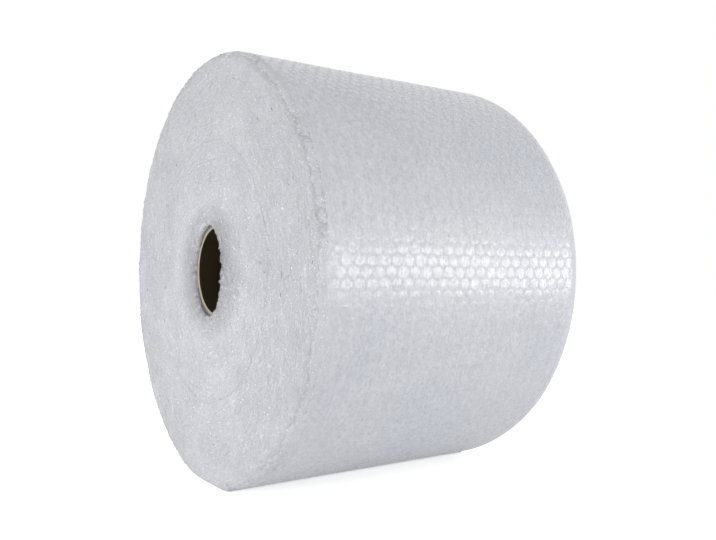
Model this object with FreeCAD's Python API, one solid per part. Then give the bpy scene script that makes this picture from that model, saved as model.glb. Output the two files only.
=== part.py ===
# Bubble wrap roll: air-bubble film wound on a kraft cardboard core, lying on its side.
# The origin is the middle of the core's bore, +Y runs along the bore and +Z is up.
# Angles go round from the underside towards +X. All turns of film are one solid. Its outer
# layer carries the bubbles, its two ends carry the spiral of cut film edges, and it rests on
# the small flat it has sunk to.
import FreeCAD, Part
import math
import os

os.makedirs("parts", exist_ok=True)

V = FreeCAD.Vector

# Film, in millimetres
web_width = 300.0            # across the film, from one cut edge to the other
roll_diameter = 410.0        # over the outermost turn, at the loose end
turn_thickness = 4.0         # one turn as wound, flat film and bubbles together
flat_depth = 6.0             # how far the roll has sunk under its own weight
front_corner_radius = 9.0    # wound edge at the front end
back_corner_radius = 29.0    # softer wound edge at the back end
slide_right = 6.0            # how far the turns next to the core have slid forward at +X
slide_left = -3.0            # and at -X, where they lie behind the rest
slide_reach = 48.0           # distance from the bore at which that slide dies away
tail_angle = 12.0            # degrees round from the underside to the loose end

# Bubbles of the outer layer, in a triangular lattice
bubble_pitch = 16.0          # from bubble to bubble
bubble_rise = 1.1            # height of a bubble over the seams round it

# Spiral of cut film edges on each end
ridge_pitch = 8.0            # each ridge stands for two turns
groove_depth = 1.2
ridge_segments = 28          # straight lengths in one turn of a ridge
edge_margin = 2.5            # plain band left at the rim and at the bore
bore_segments = 36

# Core
core_bore = 82.0
core_wall = 4.0
core_setback = 9.0           # each end of the core lies this far inside the film's edge
core_clearance = 0.2

# Sizes that follow from those above
roll_radius = roll_diameter / 2
flat_height = roll_radius - flat_depth
core_outer_radius = core_bore / 2 + core_wall
core_length = web_width - 2 * core_setback
film_bore_radius = (core_outer_radius + core_clearance) / math.cos(math.pi / bore_segments)
front_end = -web_width / 2
back_end = web_width / 2
front_corner_length = front_corner_radius * math.pi / 2
back_corner_length = back_corner_radius * math.pi / 2
straight_length = web_width - front_corner_radius - back_corner_radius
skin_length = front_corner_length + straight_length + back_corner_length
skin_steps = 2 * round(skin_length / bubble_pitch)
rows = 2 * round(math.pi * roll_diameter / (math.sqrt(3) * bubble_pitch))

points = []
facets = []
sunk_points = set()


def angle_at(turn):
    """Angle at a number of turns along the web from its loose end, which it leaves towards -X."""
    return math.radians(tail_angle) - 2 * math.pi * turn


def add_point(turn, radius, station):
    """A point at a number of turns from the loose end, a radius and a place along Y."""
    angle = angle_at(turn)
    points.append(V(radius * math.sin(angle), station, -radius * math.cos(angle)))
    return len(points) - 1


def skin_section(distance):
    """Inset, place along Y and outward direction at a distance over the outer layer."""
    if distance < front_corner_length:
        swing = distance / front_corner_radius
        inset = front_corner_radius * (1 - math.sin(swing))
        station = front_end + front_corner_radius * (1 - math.cos(swing))
        return inset, station, math.sin(swing), -math.cos(swing)
    distance -= front_corner_length
    if distance < straight_length:
        return 0.0, front_end + front_corner_radius + distance, 1.0, 0.0
    swing = (distance - straight_length) / back_corner_radius
    inset = back_corner_radius * (1 - math.cos(swing))
    station = back_end - back_corner_radius * (1 - math.sin(swing))
    return inset, station, math.cos(swing), math.sin(swing)


def slide_at(turn, radius):
    """Forward slide of the film, largest at the bore."""
    right_share = (1 + math.sin(angle_at(turn))) / 2
    slide = slide_left + (slide_right - slide_left) * right_share
    reach_share = 1 - (radius - film_bore_radius) / slide_reach
    return slide * max(0.0, reach_share) ** 2


def skin_ring(step):
    """One ring of the outer layer: bubbles at every second row, seams pressed in between."""
    inset, station, out, along = skin_section(skin_length * step / skin_steps)
    ring = []
    for row in range(rows + 1):
        turn = row / rows
        radius = roll_radius - inset - turn_thickness * turn
        height = radius * math.cos(angle_at(turn))
        sunk = height > flat_height
        cut_edge = step in (0, skin_steps) or row in (0, rows)
        bubble = (row + step) % 2 == 0
        press = 0.0 if sunk or cut_edge or bubble else bubble_rise
        index = add_point(turn, radius - press * out, station - press * along)
        points[index].z = max(points[index].z, -flat_height)
        if sunk:
            sunk_points.add(index)
        ring.append((turn, index))
    return ring


def bore_ring(end):
    """The mouth of the film's bore at one end."""
    ring = []
    for number in range(bore_segments):
        turn = (number + 0.5) / bore_segments
        station = end - slide_at(turn, film_bore_radius)
        ring.append((turn, add_point(turn, film_bore_radius, station)))
    return ring


def join_rings(first, second, step=0):
    """Facets between two like rings, folded along the seams so that bubbles stand alone."""
    for number in range(len(first)):
        after = (number + 1) % len(first)
        a, b = first[number][1], first[after][1]
        d, c = second[number][1], second[after][1]
        if (number + step) % 2 == 0:
            facets.extend([(a, b, d), (b, c, d)])
        else:
            facets.extend([(a, b, c), (a, c, d)])


def join_lines(first, second):
    """Facets between two like open lines."""
    for number in range(len(first) - 1):
        a, b = first[number][1], first[number + 1][1]
        d, c = second[number][1], second[number + 1][1]
        facets.extend([(a, b, d), (b, c, d)])


def zip_rings(first, second):
    """Facets between two closed rings whose points stand at different angles."""
    laps = [(turn + lap, point) for lap in (-1, 0, 1) for turn, point in second]
    start = max(number for number, item in enumerate(laps) if item[0] <= first[0][0])
    near = first + [(first[0][0] + 1, first[0][1])]
    far = laps[start:start + len(second)]
    far.append((far[0][0] + 1, far[0][1]))
    i = 0
    j = 0
    while i + j < len(first) + len(second):
        near_next = near[i + 1][0] if i < len(first) else math.inf
        far_next = far[j + 1][0] if j < len(second) else math.inf
        if near_next <= far_next:
            facets.append((near[i][1], near[i + 1][1], far[j][1]))
            i += 1
        else:
            facets.append((near[i][1], far[j + 1][1], far[j][1]))
            j += 1


def spiral_lines(end, corner_radius, inward):
    """Ridge and groove of the cut edges, wound inwards from the rim of one end."""
    start_radius = roll_radius - corner_radius - turn_thickness - edge_margin
    room = start_radius - film_bore_radius - edge_margin - ridge_pitch / 2
    count = int(room / ridge_pitch) * ridge_segments
    ridge = []
    groove = []
    for number in range(count + 1):
        turn = (number + 0.4) / ridge_segments
        radius = start_radius - ridge_pitch * number / ridge_segments
        ridge.append((turn, add_point(turn, radius, end - slide_at(turn, radius))))
        radius -= ridge_pitch / 2
        station = end - slide_at(turn, radius) + inward * groove_depth
        groove.append((turn, add_point(turn, radius, station)))
    return ridge, groove


def loops_of(ridge, groove):
    """The closed outer and inner boundary of one end's spiral."""
    lap = ridge_segments
    outer = ridge[:lap + 1] + [(ridge[lap][0], groove[0][1])]
    shift = groove[-lap - 1][0] - groove[0][0]
    inner = groove[-lap - 1:] + [(groove[-1][0], ridge[-1][1])]
    return outer, [(turn - shift, point) for turn, point in inner]


def front_face(rim):
    """The front end from the bore out to the rim; returns the bore's ring."""
    bore = bore_ring(front_end)
    ridge, groove = spiral_lines(front_end, front_corner_radius, 1)
    outer, inner = loops_of(ridge, groove)
    zip_rings(bore, inner)
    join_lines(groove, ridge)
    join_lines(ridge[ridge_segments:], groove[:-ridge_segments])
    zip_rings(outer, rim)
    return bore


def back_face(rim):
    """The back end from the rim in to the bore; returns the bore's ring."""
    bore = bore_ring(back_end)
    ridge, groove = spiral_lines(back_end, back_corner_radius, -1)
    outer, inner = loops_of(ridge, groove)
    zip_rings(rim, outer)
    join_lines(ridge, groove)
    join_lines(groove[:-ridge_segments], ridge[ridge_segments:])
    zip_rings(inner, bore)
    return bore


def resting_flat(flat_facets):
    """One face for the flat that the roll rests on, from the rim of its facets."""
    edges = {}
    for facet in flat_facets:
        for number in range(3):
            edges[(facet[number], facet[(number + 1) % 3])] = True
    following = {a: b for a, b in edges if (b, a) not in edges}
    corner = next(iter(following))
    outline = [corner]
    while following[outline[-1]] != corner:
        outline.append(following[outline[-1]])
    outline.append(corner)
    return Part.Face(Part.makePolygon([points[index] for index in outline]))


def make_film_roll():
    """All turns of the film, as one solid closed skin."""
    rings = [skin_ring(step) for step in range(skin_steps + 1)]
    front_bore = front_face(rings[0])
    for step in range(skin_steps):
        join_rings(rings[step], rings[step + 1], step)
    back_bore = back_face(rings[-1])
    join_rings(back_bore, front_bore)
    flat_facets = [facet for facet in facets if sunk_points.issuperset(facet)]
    flat = set(flat_facets)
    corners = [(point.x, point.y, point.z) for point in points]
    skin = Part.Shape()
    skin.makeShapeFromMesh((corners, [facet for facet in facets if facet not in flat]), 0.001, False)
    return Part.Solid(Part.Shell(skin.Faces + [resting_flat(flat_facets)]))


def make_core_tube():
    """Kraft cardboard tube that the film is wound on."""
    start = V(0, -core_length / 2, 0)
    along = V(0, 1, 0)
    tube = Part.makeCylinder(core_outer_radius, core_length, start, along)
    return tube.cut(Part.makeCylinder(core_bore / 2, core_length, start, along))


make_film_roll().exportStep("parts/film_roll.step")
make_core_tube().exportStep("parts/core_tube.step")
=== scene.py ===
import math

import bpy
import numpy as np
from mathutils import Matrix, Vector


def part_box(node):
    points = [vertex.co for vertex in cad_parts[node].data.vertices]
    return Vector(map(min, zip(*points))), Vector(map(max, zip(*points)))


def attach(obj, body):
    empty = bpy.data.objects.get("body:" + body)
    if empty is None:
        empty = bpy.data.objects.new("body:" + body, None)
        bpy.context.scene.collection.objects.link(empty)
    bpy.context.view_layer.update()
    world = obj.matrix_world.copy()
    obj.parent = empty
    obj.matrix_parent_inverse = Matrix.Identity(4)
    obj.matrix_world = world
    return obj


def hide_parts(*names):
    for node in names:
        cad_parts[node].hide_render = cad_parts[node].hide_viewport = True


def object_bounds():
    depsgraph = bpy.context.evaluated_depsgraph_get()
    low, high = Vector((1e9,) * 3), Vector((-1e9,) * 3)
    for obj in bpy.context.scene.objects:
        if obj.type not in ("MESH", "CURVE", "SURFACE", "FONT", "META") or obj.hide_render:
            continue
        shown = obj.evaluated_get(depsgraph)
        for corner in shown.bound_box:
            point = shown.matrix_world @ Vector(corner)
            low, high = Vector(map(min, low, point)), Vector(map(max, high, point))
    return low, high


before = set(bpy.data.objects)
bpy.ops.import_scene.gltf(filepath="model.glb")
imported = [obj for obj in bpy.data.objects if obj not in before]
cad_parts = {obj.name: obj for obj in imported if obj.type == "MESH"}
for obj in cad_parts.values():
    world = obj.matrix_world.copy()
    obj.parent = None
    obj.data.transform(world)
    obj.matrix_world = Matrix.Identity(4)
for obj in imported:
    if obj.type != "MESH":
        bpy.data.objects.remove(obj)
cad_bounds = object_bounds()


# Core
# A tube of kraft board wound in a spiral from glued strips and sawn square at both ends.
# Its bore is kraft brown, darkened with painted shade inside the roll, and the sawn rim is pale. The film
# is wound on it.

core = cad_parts["core_tube"]
core_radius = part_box("core_tube")[1][0]
core_strip_width = 0.105            # along the tube, from one glued seam to the next
core_seam_share = 0.02              # of a strip's width
# The bore's kraft colours are darkened with painted shade for the shadow inside the roll.
bore_kraft_and_painted_shade = (0.043, 0.029, 0.011, 1)
bore_fibre_and_painted_shade = (0.026, 0.018, 0.007, 1)
core_rim_colour = (0.46, 0.42, 0.34, 1)
board_relief = 0.0004


def wire(tree, kind, **settings):
    """A shader node with its inputs set by name or number, or fed by another node's output."""
    node = tree.nodes.new(kind)
    for name, value in settings.items():
        if name in ("operation", "data_type", "interpolation_type"):
            setattr(node, name, value)
            continue
        slot = node.inputs[int(name[1:])] if name[1:].isdigit() else node.inputs[name.replace("_", " ")]
        if isinstance(value, bpy.types.NodeSocket):
            tree.links.new(value, slot)
        else:
            slot.default_value = value
    return node


def numbered(values):
    """Settings for wire that feed a node's inputs in their order."""
    return {f"i{number}": value for number, value in enumerate(values)}


def reckon(tree, operation, *values):
    """The result of one step of arithmetic on single values."""
    return wire(tree, "ShaderNodeMath", operation=operation, **numbered(values)).outputs[0]


def grade(tree, value, low, high, at_low, at_high, kind="LINEAR"):
    """A value that goes from at_low to at_high while the given one goes from low to high."""
    ends = numbered([value, low, high, at_low, at_high])
    return wire(tree, "ShaderNodeMapRange", interpolation_type=kind, **ends).outputs[0]


def cloudy(tree, spot, scale, detail, **settings):
    """Soft random mottle over a surface."""
    return wire(tree, "ShaderNodeTexNoise", Vector=spot, Scale=scale, Detail=detail, **settings).outputs[0]


def blend(tree, share, first, second):
    """A colour between two others."""
    return wire(tree, "ShaderNodeMix", data_type="RGBA", i0=share, i6=first, i7=second).outputs[2]


def new_material(name):
    """A new material, its node tree and its surface node."""
    material = bpy.data.materials.new(name)
    material.use_nodes = True
    tree = material.node_tree
    return material, tree, tree.nodes["Principled BSDF"]


def board_material():
    """Kraft board with its glued seams in a spiral, pale where it is sawn, and darkened with painted shade
    in its bore.
    """
    material, tree, skin = new_material("kraft_board")
    spot = wire(tree, "ShaderNodeTexCoord").outputs["Object"]
    axes = wire(tree, "ShaderNodeSeparateXYZ", i0=spot).outputs
    angle = reckon(tree, "ARCTAN2", axes["Z"], axes["X"])
    lap = reckon(tree, "MULTIPLY", angle, 1 / math.tau)
    strips = reckon(tree, "DIVIDE", axes["Y"], core_strip_width)
    across = reckon(tree, "PINGPONG", reckon(tree, "ADD", lap, strips), 0.5)
    seam = grade(tree, across, 0.0, core_seam_share, 0.0, 1.0)
    fibres = cloudy(tree, spot, 420.0, 6.0, Roughness=0.7)
    mottle = cloudy(tree, spot, 60.0, 3.0)
    # The bore's colour: kraft with painted shade.
    bore = blend(tree, mottle, bore_kraft_and_painted_shade, bore_fibre_and_painted_shade)

    normal = wire(tree, "ShaderNodeNewGeometry").outputs["Normal"]
    facing = wire(tree, "ShaderNodeSeparateXYZ", i0=normal).outputs["Y"]
    at_end = reckon(tree, "GREATER_THAN", reckon(tree, "ABSOLUTE", facing), 0.8)
    tree.links.new(blend(tree, at_end, bore, core_rim_colour), skin.inputs["Base Color"])
    relief = reckon(tree, "MULTIPLY", fibres, seam)
    bump = wire(tree, "ShaderNodeBump", Strength=0.5, Distance=board_relief, Height=relief)
    tree.links.new(bump.outputs[0], skin.inputs["Normal"])
    skin.inputs["Roughness"].default_value = 0.85
    skin.inputs["Specular IOR Level"].default_value = 0.2
    return material


core.data.materials[0] = board_material()


# Film, seen end on
# The web is a flat film with a bubble film welded to it, both of clear polyethylene, slit to
# width and wound bubbles inwards. On an end the cut edges of both films stand side by side,
# the flat one as a plain spiral and the bubble one waving in and out beside it.

web_width = 0.300
front_end = -web_width / 2
back_end = web_width / 2
core_gap = 0.0003
bore_radius = core_radius + core_gap
roll_diameter = 0.410
tail_radius = roll_diameter / 2     # over the outermost turn at its loose end
turn_thickness = 0.004
tail_angle = math.radians(12)       # round from the underside, towards the right
flat_height = -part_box("film_roll")[0][2]
front_corner = 0.009                # the wound edges are rounded over by this much
back_corner = 0.029
slide_right = 0.006                 # the inmost turns have slid this far forward on the right
slide_left = -0.003
slide_reach = 0.048
bubble_pitch = 0.0118               # along the roll
row_spacing = 0.0098                # round it

front_edge_inset = 0.0022           # where the cut edges dip under the skin, from the rim
back_edge_inset = 0.0215
dip_depth = 0.001
dip_reach = 0.0015
edge_overlap = 0.0018               # how far the cut edges run on under the skin
bubble_edge_middle = 0.50           # of a turn's thickness from the flat film's cut edge
bubble_edge_swing = 0.24
flat_edge_level = 0.00018           # the cut edges stand out and the hollows between lie back
bubble_edge_level = 0.00012
hollow_level = -0.00022
edge_unevenness = 0.00028           # along one cut edge, over a few millimetres
edge_nicks = 0.00012
end_dents = 0.00016
edge_sway = 0.0004                  # sideways, from one hand's breadth to the next
edge_frizz = 0.00030
rim_roughness = 0.4                 # how much more uneven the edges are at the rim and mouth
rim_rough_reach = 0.006
mouth_roughness = 0.6
mouth_rough_reach = 0.008

mouth_tight = 0.003                 # reach of the rounding into the bore on the right
mouth_wider = 0.008                 # and how much wider it is on the left
mouth_sink = 0.0025
mouth_sink_wider = 0.0035
mouth_overhang = 0.003              # how far loose film leans in over the core on the right
overhang_reach = 0.005

edge_dim_colour = (0.405, 0.415, 0.447, 1)
edge_milky_colour = (0.562, 0.570, 0.605, 1)
# Near-white colour of the painted glints on the cut edges.
painted_glint_colour = (0.95, 0.95, 0.97, 1)
mouth_shade = 0.46                  # painted shade near the core, where less light comes back through the film
mouth_shade_from = bore_radius - 0.009
mouth_shade_to = bore_radius + 0.033
mouth_shade_stretch = (0.94, 0.0, 1.1)
mouth_shade_shift = (-0.003, 0.0, 0.0)
light_below = 1.10                  # painted light: the end is a little brighter low down than high up
light_above = 0.955
rim_shade = 0.91                    # painted shade on the rim on the right, which sends less light back than the middle
wall_light = 0.4                    # painted light on the bore's wall on the left, for light that reaches it through the film
see_through_mouth = 0.005           # how far light spreads inside the film
see_through_end = 0.002
thin_rim_from = 0.190               # and less where the cut edges meet the skin
thin_rim_to = 0.201


def wander(positions, reach, amplitude, seed):
    """Smooth random values along the web, wandering over the given reach."""
    draw = np.random.default_rng(seed)
    at = positions / reach
    at = at - at.min()
    values = draw.normal(0, amplitude, int(at.max()) + 3)
    low = at.astype(int)
    part = at - low
    part = part * part * (3 - 2 * part)
    return values[low] * (1 - part) + values[low + 1] * part


def ripples(across, up, waves, low, high, amplitude, seed):
    """Soft random swellings of a surface, a sum of slanting waves."""
    draw = np.random.default_rng(seed)
    total = np.zeros(np.broadcast(across, up).shape)
    for _ in range(waves):
        length = draw.uniform(low, high)
        heading = draw.uniform(0, math.pi)
        phase = draw.uniform(0, math.tau)
        total += np.sin((across * math.cos(heading) + up * math.sin(heading)) * math.tau / length + phase)
    return total * amplitude / math.sqrt(waves)


def angle_at(turns):
    """The web leaves its loose end towards the left, so its angle falls along it."""
    return tail_angle - math.tau * turns


def outer_radius(turns):
    """Radius of the outer turn on the side where a point of the web lies."""
    return tail_radius - turn_thickness * (turns % 1.0)


def end_depth(radius, corner, outer):
    """How far the wound edge has rounded back at this radius, seen from a flat end."""
    over = np.clip((radius - (outer - corner)) / corner, 0, 0.995)
    return corner * (1 - np.sqrt(1 - over ** 2))


def slide_at(angle, radius):
    """Forward slide of the film, largest at the bore and on the right."""
    slide = slide_left + (slide_right - slide_left) * (1 + np.sin(angle)) / 2
    return slide * np.clip(1 - (radius - bore_radius) / slide_reach, 0, 1) ** 2


def mouth_depth(angle, radius):
    """How far the film rounds back into its bore, wide on the left and tight on the right."""
    to_left = ((1 - np.sin(angle)) / 2) ** 2
    reach = mouth_tight + mouth_wider * to_left
    over = np.clip(1 - (radius - bore_radius) / reach, 0, 1)
    return (mouth_sink + mouth_sink_wider * to_left) * (1 - np.sqrt(1 - 0.99 * over ** 2))


def overhang(angle, radius):
    """How far loose film at the mouth leans in over the core."""
    to_right = (1 + np.sin(angle)) / 2
    near_bore = np.exp(-np.maximum(radius - bore_radius, 0) / overhang_reach)
    return mouth_overhang * to_right ** 0.6 * near_bore


def place(angle, radius, along):
    """Points from angle, radius and place along the roll, kept above what the roll rests on."""
    x = radius * np.sin(angle)
    z = np.maximum(-radius * np.cos(angle), -flat_height)
    return np.stack(np.broadcast_arrays(x, along, z), axis=-1)


def grid_faces(corner):
    """Four-sided faces between rows of point numbers."""
    sides = [corner[:-1, :-1], corner[:-1, 1:], corner[1:, 1:], corner[1:, :-1]]
    return np.stack([side.ravel() for side in sides], axis=-1)


def sheet_normals(points, faces):
    """Outward directions at the points of a sheet, averaged from its faces."""
    a, b, c, d = (points[faces[:, number]] for number in range(4))
    across = np.cross(c - a, d - b)
    owners = faces.T.ravel()
    sums = [np.bincount(owners, np.tile(across[:, axis], 4), minlength=len(points)) for axis in range(3)]
    normals = np.stack(sums, axis=-1)
    return normals / np.maximum(np.linalg.norm(normals, axis=-1, keepdims=True), 1e-12)


def make_piece(name, points, faces, material, normals):
    """One smooth sheet of the film, as its own piece."""
    mesh = bpy.data.meshes.new(name)
    mesh.vertices.add(len(points))
    mesh.vertices.foreach_set("co", points.astype(np.float32).ravel())
    mesh.loops.add(faces.size)
    mesh.loops.foreach_set("vertex_index", faces.astype(np.int32).ravel())
    mesh.polygons.add(len(faces))
    mesh.polygons.foreach_set("loop_start", np.arange(0, faces.size, 4, dtype=np.int32))
    mesh.polygons.foreach_set("use_smooth", np.ones(len(faces), dtype=bool))
    mesh.update(calc_edges=True)
    mesh.normals_split_custom_set_from_vertices(normals.tolist())
    mesh.materials.append(material)
    piece = bpy.data.objects.new(name, mesh)
    bpy.context.scene.collection.objects.link(piece)
    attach(piece, "root")
    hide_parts("film_roll")
    return piece


def combine(tree, operation, *values):
    """The result of one step of arithmetic on vectors, itself a vector or a length."""
    outputs = wire(tree, "ShaderNodeVectorMath", operation=operation, **numbered(values)).outputs
    return outputs["Value" if operation in ("LENGTH", "DOT_PRODUCT") else "Vector"]


def dimmed(tree, colour, share):
    """A colour made darker or lighter."""
    return wire(tree, "ShaderNodeVectorMath", operation="SCALE", i0=colour, Scale=share).outputs[0]


def frosting_with_painted_glints(tree, spot):
    """Colour and grain of crowded film edges, milky with fine specks painted as glints that catch the
    light.
    """
    patches = cloudy(tree, spot, 30.0, 4.0)
    grain = cloudy(tree, spot, 1100.0, 2.0)
    fine = reckon(tree, "MULTIPLY", grain, 1.1)
    shade = reckon(tree, "MULTIPLY_ADD", patches, 0.5, fine)
    milky = grade(tree, shade, 0.55, 1.05, 0.0, 1.0)
    white = blend(tree, milky, edge_dim_colour, edge_milky_colour)
    # Painted glints: fine specks lightened towards near white.
    painted_glints = grade(tree, cloudy(tree, spot, 700.0, 1.0), 0.65, 0.75, 0.0, 0.85)
    return blend(tree, painted_glints, white, painted_glint_colour), grain


def edge_material():
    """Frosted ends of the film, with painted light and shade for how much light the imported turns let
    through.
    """
    material, tree, skin = new_material("film_edges")
    spot = wire(tree, "ShaderNodeTexCoord").outputs["Object"]
    axes = wire(tree, "ShaderNodeSeparateXYZ", i0=spot).outputs
    from_axis = combine(tree, "LENGTH", combine(tree, "MULTIPLY", spot, (1.0, 0.0, 1.0)))
    shade_spot = combine(tree, "MULTIPLY_ADD", spot, mouth_shade_stretch, mouth_shade_shift)
    from_mouth = combine(tree, "LENGTH", shade_spot)

    # Painted shade round the mouth, multiplied into the colour below.
    mouth_painted_shade = grade(tree, from_mouth, mouth_shade_from, mouth_shade_to, mouth_shade, 1.0, "SMOOTHSTEP")
    # Painted light: the end's colour is brighter low down and dimmer high up.
    low_painted_light = grade(tree, axes["Z"], -0.2, 0.2, light_below, light_above)
    # Painted light: the bore's wall on the left is lightened.
    at_wall = grade(tree, from_axis, bore_radius, bore_radius + 0.0015, wall_light, 0.0)
    on_left = grade(tree, axes["X"], 0.0, 0.03, 1.0, 0.0)
    wall = reckon(tree, "MULTIPLY_ADD", at_wall, on_left, 1.0)
    # Painted shade: the colour darkens towards the rim on the right.
    right_rim_painted_shade = grade(tree, axes["X"], 0.05, 0.18, 1.0, rim_shade)
    shade = reckon(tree, "MULTIPLY", mouth_painted_shade, low_painted_light)
    shade = reckon(tree, "MULTIPLY", shade, wall)
    shade = reckon(tree, "MULTIPLY", shade, right_rim_painted_shade)
    colour, grain = frosting_with_painted_glints(tree, spot)
    tree.links.new(dimmed(tree, colour, shade), skin.inputs["Base Color"])

    bump = wire(tree, "ShaderNodeBump", Strength=0.9, Distance=0.0006, Height=grain)
    tree.links.new(bump.outputs[0], skin.inputs["Normal"])
    spread = grade(tree, from_mouth, bore_radius, bore_radius + 0.020, see_through_mouth, see_through_end)
    thinned = grade(tree, from_axis, thin_rim_from, thin_rim_to, 1.0, 0.25)
    tree.links.new(reckon(tree, "MULTIPLY", spread, thinned), skin.inputs["Subsurface Scale"])
    skin.inputs["Roughness"].default_value = 0.24
    skin.inputs["IOR"].default_value = 1.5
    skin.subsurface_method = "BURLEY"
    skin.inputs["Subsurface Weight"].default_value = 1.0
    skin.inputs["Subsurface Radius"].default_value = (1.0, 1.0, 1.0)
    return material


def cut_edges(end, inward, corner, edge_inset, turn_steps, seed):
    """The two cut edges and the hollows between them, as one sheet wound round the end."""
    first_turn = (edge_inset - edge_overlap) / turn_thickness
    last_turn = (tail_radius - bore_radius) / turn_thickness
    count = int((last_turn - first_turn) * turn_steps)
    turns = first_turn + np.arange(count + turn_steps) / turn_steps
    web = math.tau * turns * (tail_radius - turn_thickness * turns / 2)
    wave = math.pi * web / row_spacing + wander(web, 0.05, 0.9, seed)
    bubble_share = bubble_edge_middle + bubble_edge_swing * np.cos(wave)
    bubble_share = bubble_share + wander(web, 0.008, 0.06, seed + 1)
    edges = [
        (np.zeros(len(turns)), flat_edge_level),
        (bubble_share / 2, hollow_level),
        (bubble_share, bubble_edge_level),
        ((1 + bubble_share) / 2, hollow_level),
    ]
    draw = np.random.default_rng(seed + 2)
    angle = angle_at(turns)
    outer = outer_radius(turns)
    lines = []
    for number, (share, level) in enumerate(edges):
        radius = tail_radius - turn_thickness * (turns + share)
        at_rim = np.exp(-(outer - radius) / rim_rough_reach)
        at_mouth = np.exp(-np.maximum(radius - bore_radius, 0) / mouth_rough_reach)
        at_mouth = at_mouth * (1.1 + 0.8 * np.sin(angle))
        rough = 1 + rim_roughness * at_rim + mouth_roughness * at_mouth
        height = level + wander(web, 0.004, edge_unevenness, seed + 10 + number)
        height = height + draw.normal(0, edge_nicks, len(turns))
        x = radius * np.sin(angle)
        z = radius * np.cos(angle)
        dents = ripples(x, z, 14, 0.02, 0.07, end_dents, seed + 3)
        frizz = draw.normal(0, edge_frizz, len(turns)) * rough
        sideways = frizz + wander(web, 0.03, edge_sway, seed + 20)
        under_skin = np.clip((edge_inset - outer + radius) / dip_reach, 0, 1)
        depth = end_depth(radius, corner, outer) - height * rough - dents + dip_depth * under_skin
        depth = depth + mouth_depth(angle, radius) + np.maximum(bore_radius - radius, 0)
        radius = np.maximum(radius, bore_radius)
        across = radius - overhang(angle, radius) + sideways
        lines.append(place(angle, across, end - slide_at(angle, radius) + inward * depth))
    numbers = np.arange(4 * len(turns)).reshape(4, len(turns))
    rows = [numbers[line, :count + 1] for line in range(4)]
    rows.append(numbers[0, turn_steps - 1:turn_steps + count])
    return np.concatenate(lines), np.array(rows)


def mouth(end, inward, seed):
    """The wall of the film's bore behind the inmost cut edges."""
    sectors = 260
    lip = [(0.005, 0.0010), (0.002, 0.0008), (0.0005, 0.0006)]
    wall = [(0.0, 0.0012 + 0.0022 * step) for step in range(8)]
    angle = -np.linspace(0, math.tau, sectors)
    draw = np.random.default_rng(seed)
    rings = []
    for inset, depth in lip + wall:
        radius = np.full(sectors, bore_radius + inset)
        radius = radius - overhang(angle, radius) * math.exp(-depth / 0.003)
        uneven = draw.normal(0, 0.0001, sectors)
        uneven[-1] = uneven[0]
        depth = depth + mouth_depth(angle, bore_radius + inset)
        along = end - slide_at(angle, radius) + inward * depth
        rings.append(place(angle, radius + np.abs(uneven), along))
    return np.concatenate(rings), np.arange(len(rings) * sectors).reshape(len(rings), sectors)


film_edges = edge_material()
for name, end, inward, corner, edge_inset, turn_steps, seed in (
    ("front", front_end, 1, front_corner, front_edge_inset, 800, 100),
    ("back", back_end, -1, back_corner, back_edge_inset, 400, 300),
):
    points, rows = cut_edges(end, inward, corner, edge_inset, turn_steps, seed)
    rows = rows[:, ::-inward]
    normals = sheet_normals(points, grid_faces(rows))
    half = rows.shape[1] // 2
    for part, span in (("one", slice(0, half + 1)), ("two", slice(half, None))):
        used, numbers = np.unique(grid_faces(rows[:, span]), return_inverse=True)
        faces = numbers.reshape(-1, 4)
        make_piece(f"{name}_cut_edges_{part}", points[used], faces, film_edges, normals[used])
    points, numbers = mouth(end, inward, seed + 50)
    faces = grid_faces(numbers[:, ::-inward])
    make_piece(f"{name}_mouth", points, faces, film_edges, sheet_normals(points, faces))


# Outer turn of film
# The last turn of the web, wound with its flat film outwards, so that each bubble shows as a
# taut round disc with a bevelled rim in the seams between. It rounds over at both ends, lies
# flat where it rests on the ground, and its loose cut edge is tucked in beside that flat.

front_arc = front_corner * math.pi / 2
back_arc = back_corner * math.pi / 2
skin_length = front_arc + back_arc + back_end - front_end - front_corner - back_corner
skin_from = 0.0015                  # the cut edges cover the film before and after these
skin_to = skin_length - 0.0015
skin_columns = 250
skin_rows = 900
skin_parts = 3
skin_swell = 0.0004                 # the skin lies this far outside the nominal turn
swelling_height = 0.00022
edge_swelling_height = 0.0004
skin_dip = 0.0010                   # the skin's ends sink by this much under the cut edges
skin_dip_from = 0.0095
skin_dip_reach = 0.0075
tatter_height = 0.00022
frayed_roughness = 0.00010

film_cool_colour = (0.442, 0.467, 0.526, 1)
film_warm_colour = (0.555, 0.56, 0.585, 1)
lean_spread = 0.05                  # slope between the bubbles that lean most
crown_least = 0.00005               # fall from the middle of a bubble to its rim
crown_most = 0.00035
dimple_spread = 0.00020
rim_drop = 0.00010
column_shade = 0.035                # the bubbles' columns show faintly through the film
wrinkle_height = 0.00016
coat_wrinkles = 0.00009
frayed_height = 0.00054
frayed_wander = 0.022               # the frayed zone ends raggedly, between these places
frayed_from = 0.017
frayed_to = 0.036
frayed_light = 1.07                 # painted light: the thin frayed rim is lightened for light coming through it from behind


def skin_section(distance):
    """Inset from the full radius, place along the roll and outward direction over the skin."""
    swing_front = np.clip(distance / front_corner, 0, math.pi / 2)
    swing_back = np.clip((distance - skin_length + back_arc) / back_corner, 0, math.pi / 2)
    inset = front_corner * (1 - np.sin(swing_front)) + back_corner * (1 - np.cos(swing_back))
    station = front_end + front_corner * (1 - np.cos(swing_front)) + back_corner * np.sin(swing_back)
    station += np.clip(distance - front_arc, 0, skin_length - front_arc - back_arc)
    out = np.sin(swing_front) * np.cos(swing_back)
    along = np.sin(swing_back) - np.cos(swing_front)
    return inset, station, out, along


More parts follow.
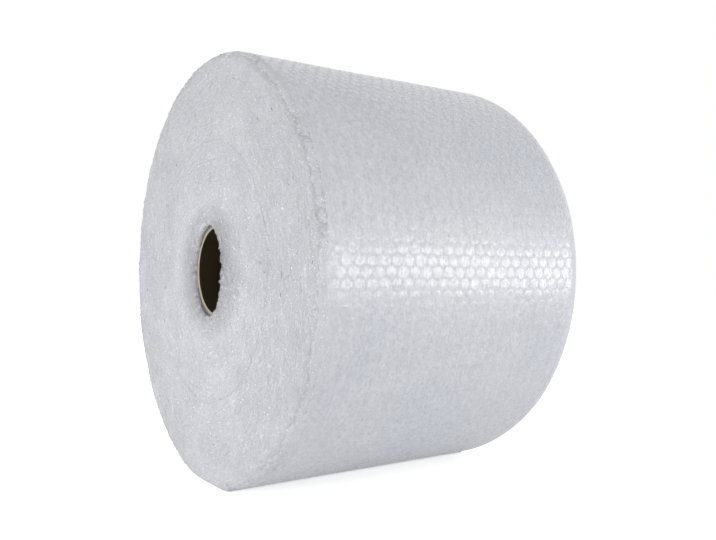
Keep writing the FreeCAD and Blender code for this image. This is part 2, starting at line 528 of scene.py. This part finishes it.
def skin_height(distance, web):
    """Soft swellings of the outer turn, and its thin ends that dip under the cut edges."""
    to_edge = np.minimum(distance, skin_length - distance)
    near_edge = np.exp(-distance / 0.012) + 0.6 * np.exp(-(skin_length - distance) / 0.02)
    height = ripples(distance, web, 9, 0.08, 0.20, swelling_height, 21)
    height = height + ripples(distance, web, 14, 0.010, 0.03, edge_swelling_height, 22) * near_edge
    to_end = np.clip((skin_dip_from - to_edge) / skin_dip_reach, 0, 1)
    tatters = ripples(distance, web, 24, 0.005, 0.012, tatter_height, 23) * np.sqrt(to_end)
    height = height + tatters - skin_dip * to_end * to_end * (3 - 2 * to_end)
    roughened = np.exp(-(to_edge / 0.011) ** 2)
    draw = np.random.default_rng(24)
    return height + draw.normal(0, frayed_roughness, height.shape) * roughened


def nearest_bubble(tree, web):
    """Place within the nearest bubble of the lattice, and that bubble's own random values."""
    high = (bubble_pitch / 2, row_spacing, 1.0)
    low = (-bubble_pitch / 2, -row_spacing, -1.0)
    shift = (bubble_pitch / 2, row_spacing, 0.0)
    even = combine(tree, "WRAP", web, high, low)
    odd = combine(tree, "WRAP", combine(tree, "ADD", web, shift), high, low)
    even_far = combine(tree, "LENGTH", even)
    odd_far = combine(tree, "LENGTH", odd)
    nearer = reckon(tree, "LESS_THAN", odd_far, even_far)
    local = wire(tree, "ShaderNodeMix", data_type="VECTOR", i0=nearer, i4=even, i5=odd).outputs[1]
    share = reckon(tree, "DIVIDE", reckon(tree, "MINIMUM", even_far, odd_far), bubble_pitch / 2)

    centre = combine(tree, "SUBTRACT", web, local)
    counts = (2 / bubble_pitch, 1 / row_spacing, 0.0)
    number = combine(tree, "FLOOR", combine(tree, "MULTIPLY_ADD", centre, counts, (0.5, 0.5, 0.5)))
    chance = wire(tree, "ShaderNodeTexWhiteNoise", Vector=number).outputs
    return local, share, chance


def bubble_relief(tree, local, share, chance, rim):
    """Height of the glossy film, each disc with its own lean, crown and dimple."""
    lean = combine(tree, "SUBTRACT", chance["Color"], (0.5, 0.5, 0.5))
    tilt = combine(tree, "DOT_PRODUCT", lean, local)
    fall = reckon(tree, "POWER", share, 3.0)
    fullness = grade(tree, chance["Value"], 0.0, 1.0, -crown_most, -crown_least)
    crown = reckon(tree, "MULTIPLY", fall, fullness)
    disc = reckon(tree, "MULTIPLY_ADD", tilt, lean_spread, crown)
    middle = grade(tree, share, 0.05, 0.55, 0.0, dimple_spread, "SMOOTHSTEP")
    sunk = wire(tree, "ShaderNodeSeparateXYZ", i0=lean).outputs["Z"]
    disc = reckon(tree, "MULTIPLY_ADD", middle, sunk, disc)
    return reckon(tree, "MULTIPLY_ADD", rim, rim_drop, disc)


def film_tint(tree, patches, across, specks, own_chance):
    """Colour of the clear film over white layers, with streaks, specks and faint columns."""
    tint = blend(tree, patches, film_cool_colour, film_warm_colour)
    grain = grade(tree, specks, 0.75, 1.45, 0.86, 1.14)
    own = grade(tree, own_chance, 0.0, 1.0, 0.975, 1.025)
    grain = reckon(tree, "MULTIPLY", grain, own)
    column = reckon(tree, "SINE", reckon(tree, "MULTIPLY", across, math.tau / bubble_pitch))
    column = reckon(tree, "MULTIPLY", column, patches)
    column = reckon(tree, "MULTIPLY_ADD", column, column_shade, 1.0)
    return dimmed(tree, tint, reckon(tree, "MULTIPLY", grain, column))


def film_material():
    """Glossy film drawn over its bubbles, matt in the welded seams and frosted at the rim, where painted
    glints and painted light lighten its colour.
    """
    material, tree, skin = new_material("outer_film")
    web = wire(tree, "ShaderNodeTexCoord").outputs["UV"]
    spot = wire(tree, "ShaderNodeTexCoord").outputs["Object"]
    across = wire(tree, "ShaderNodeSeparateXYZ", i0=web).outputs["X"]
    local, share, chance = nearest_bubble(tree, web)
    rim = grade(tree, share, 0.77, 0.94, 0.0, -1.0, "SMOOTHSTEP")
    wrinkles = cloudy(tree, spot, 380.0, 3.0, Distortion=0.8)
    drawn_out = combine(tree, "MULTIPLY", web, (600.0, 150.0, 1.0))
    streaks = cloudy(tree, drawn_out, 1.0, 3.0)

    taut = bubble_relief(tree, local, share, chance, rim)
    glossy = reckon(tree, "MULTIPLY_ADD", wrinkles, coat_wrinkles, taut)
    coat_bump = wire(tree, "ShaderNodeBump", Strength=1.0, Distance=1.0, Height=glossy)
    tree.links.new(coat_bump.outputs[0], skin.inputs["Coat Normal"])

    ragged = reckon(tree, "MULTIPLY_ADD", cloudy(tree, spot, 160.0, 3.0), frayed_wander, across)
    frayed = grade(tree, ragged, frayed_from, frayed_to, 1.0, 0.0, "SMOOTHSTEP")
    frosted, fibres = frosting_with_painted_glints(tree, spot)
    matt = reckon(tree, "MULTIPLY", wrinkles, wrinkle_height)
    matt = reckon(tree, "MULTIPLY_ADD", fibres, reckon(tree, "MULTIPLY", frayed, frayed_height), matt)
    bump = wire(tree, "ShaderNodeBump", Strength=1.0, Distance=1.0, Height=matt)
    tree.links.new(bump.outputs[0], skin.inputs["Normal"])

    patches = cloudy(tree, spot, 8.0, 3.0)
    specks = reckon(tree, "MULTIPLY_ADD", wrinkles, 1.2, streaks)
    tint = film_tint(tree, patches, across, specks, chance["Value"])
    # The frayed rim's colour carries painted light, for light coming through it from behind.
    colour = blend(tree, frayed, tint, dimmed(tree, frosted, frayed_light))
    tree.links.new(colour, skin.inputs["Base Color"])

    polish = grade(tree, streaks, 0.36, 0.62, 0.3, 1.0)
    welded = reckon(tree, "MULTIPLY_ADD", rim, 0.85, 1.0)
    tree.links.new(reckon(tree, "MULTIPLY", polish, welded), skin.inputs["Coat Weight"])
    dullness = grade(tree, frayed, 0.0, 1.0, 0.10, 0.75)
    tree.links.new(dullness, skin.inputs["Coat Roughness"])
    skin.inputs["Roughness"].default_value = 0.42
    skin.inputs["IOR"].default_value = 1.5
    skin.subsurface_method = "BURLEY"
    tree.links.new(frayed, skin.inputs["Subsurface Weight"])
    skin.inputs["Subsurface Radius"].default_value = (1.0, 1.0, 1.0)
    skin.inputs["Subsurface Scale"].default_value = 0.0005
    return material


outer_film = film_material()
distance = np.linspace(skin_from, skin_to, skin_columns)[:, None]
turn = np.linspace(0, 1, skin_rows)[None, :]
distance, turn = np.broadcast_arrays(distance, turn)
web = turn * math.tau * (tail_radius - turn_thickness / 2)
inset, station, out, along = skin_section(distance)
height = skin_height(distance, web)
radius = tail_radius + skin_swell - inset - turn_thickness * turn
skin_points = place(angle_at(turn), radius + height * out, station + height * along)
skin_normals = np.cross(np.gradient(skin_points, axis=1), np.gradient(skin_points, axis=0))
skin_normals /= np.linalg.norm(skin_normals, axis=-1, keepdims=True)

cuts = [round(part * (skin_rows - 1) / skin_parts) for part in range(skin_parts + 1)]
for part in range(skin_parts):
    span = slice(cuts[part], cuts[part + 1] + 1)
    points = skin_points[:, span].reshape(-1, 3)
    faces = grid_faces(np.arange(len(points)).reshape(skin_columns, -1))
    normals = skin_normals[:, span].reshape(-1, 3)
    piece = make_piece(f"outer_turn_{part + 1}", points, faces, outer_film, normals)
    web_places = np.stack([distance[:, span].ravel(), web[:, span].ravel()], axis=-1)
    uv_layer = piece.data.uv_layers.new(name="web")
    uv_layer.data.foreach_set("uv", web_places[faces.ravel()].astype(np.float32).ravel())


# Studio
# A pale floor under a white surround, a long low softbox on the right that lays one bright
# band along the roll, and a broad soft lamp in front for the end.

half_floor = 6.0
floor_colour = (0.86, 0.86, 0.86, 1)
floor_glow = 0.20                   # what the floor gives off, and what the camera sees of it
floor_glow_seen = 0.60
surround_light = 0.63
lamp_colour = (1.0, 0.985, 0.965)
roll_side = (0.20, 0.02, 0.0)
before_front_end = (0.15, -0.85, -0.65)

floor_level = cad_bounds[0][2]
corners = [(-1, -1), (1, -1), (1, 1), (-1, 1)]
floor_points = [(x * half_floor, y * half_floor, floor_level) for x, y in corners]
floor_mesh = bpy.data.meshes.new("floor")
floor_mesh.from_pydata(floor_points, [], [(0, 1, 2, 3)])
floor = bpy.data.objects.new("floor", floor_mesh)
bpy.context.scene.collection.objects.link(floor)
floor_material, floor_tree, floor_skin = new_material("floor")
floor_skin.inputs["Base Color"].default_value = floor_colour
floor_skin.inputs["Roughness"].default_value = 0.9
floor_skin.inputs["Emission Color"].default_value = (1, 1, 1, 1)
path = wire(floor_tree, "ShaderNodeLightPath").outputs
glow = grade(floor_tree, path["Is Camera Ray"], 0.0, 1.0, floor_glow, floor_glow_seen)
floor_tree.links.new(glow, floor_skin.inputs["Emission Strength"])
floor_mesh.materials.append(floor_material)

world = bpy.data.worlds.new("studio")
bpy.context.scene.world = world
world.use_nodes = True
world_tree = world.node_tree
background = world_tree.nodes["Background"]
background.inputs["Color"].default_value = (1, 1, 1, 1)
path = wire(world_tree, "ShaderNodeLightPath").outputs
seen = reckon(world_tree, "MAXIMUM", path["Is Camera Ray"], path["Is Glossy Ray"])
seen = reckon(world_tree, "MAXIMUM", seen, path["Is Transmission Ray"])
strength = grade(world_tree, seen, 0.0, 1.0, surround_light, 1.0)
world_tree.links.new(strength, background.inputs["Strength"])


def softbox(name, position, target, width, height, radiance):
    """A square-on soft lamp of a given brightness, aimed at a point."""
    lamp = bpy.data.lights.new(name, "AREA")
    lamp.shape = "RECTANGLE"
    lamp.size = width
    lamp.size_y = height
    lamp.color = lamp_colour
    lamp.energy = radiance * math.pi * width * height
    holder = bpy.data.objects.new(name, lamp)
    holder.location = position
    aim = Vector(target) - Vector(position)
    holder.rotation_euler = aim.to_track_quat("-Z", "Y").to_euler()
    bpy.context.scene.collection.objects.link(holder)


softbox("side_softbox", (1.42, 1.08, 0.02), roll_side, 1.60, 0.58, 2.6)
softbox("side_softbox_core", (1.50, 0.90, 0.02), roll_side, 1.40, 0.44, 2.2)
softbox("side_fill", (1.62, 1.26, 0.05), roll_side, 2.4, 1.5, 0.46)
softbox("front_softbox", (0.32, -1.5, 0.05), before_front_end, 0.6, 0.6, 8.7)

bpy.context.scene.view_settings.view_transform = "Standard"

camera_place = (0.6716, -0.4359, -0.0013)
camera_right = Vector((0.56377, 0.82591, 0.00595))
camera_up = Vector((0.0, -0.00721, 0.99997))
camera_back = Vector((0.82593, -0.56376, -0.00406))
camera_data = bpy.data.cameras.new("camera")
camera_data.sensor_width = 36
camera_data.lens = 38.11
camera = bpy.data.objects.new("camera", camera_data)
turned = Matrix((camera_right, camera_up, camera_back)).transposed().to_4x4()
camera.matrix_world = Matrix.Translation(camera_place) @ turned
bpy.context.scene.collection.objects.link(camera)
bpy.context.scene.camera = camera
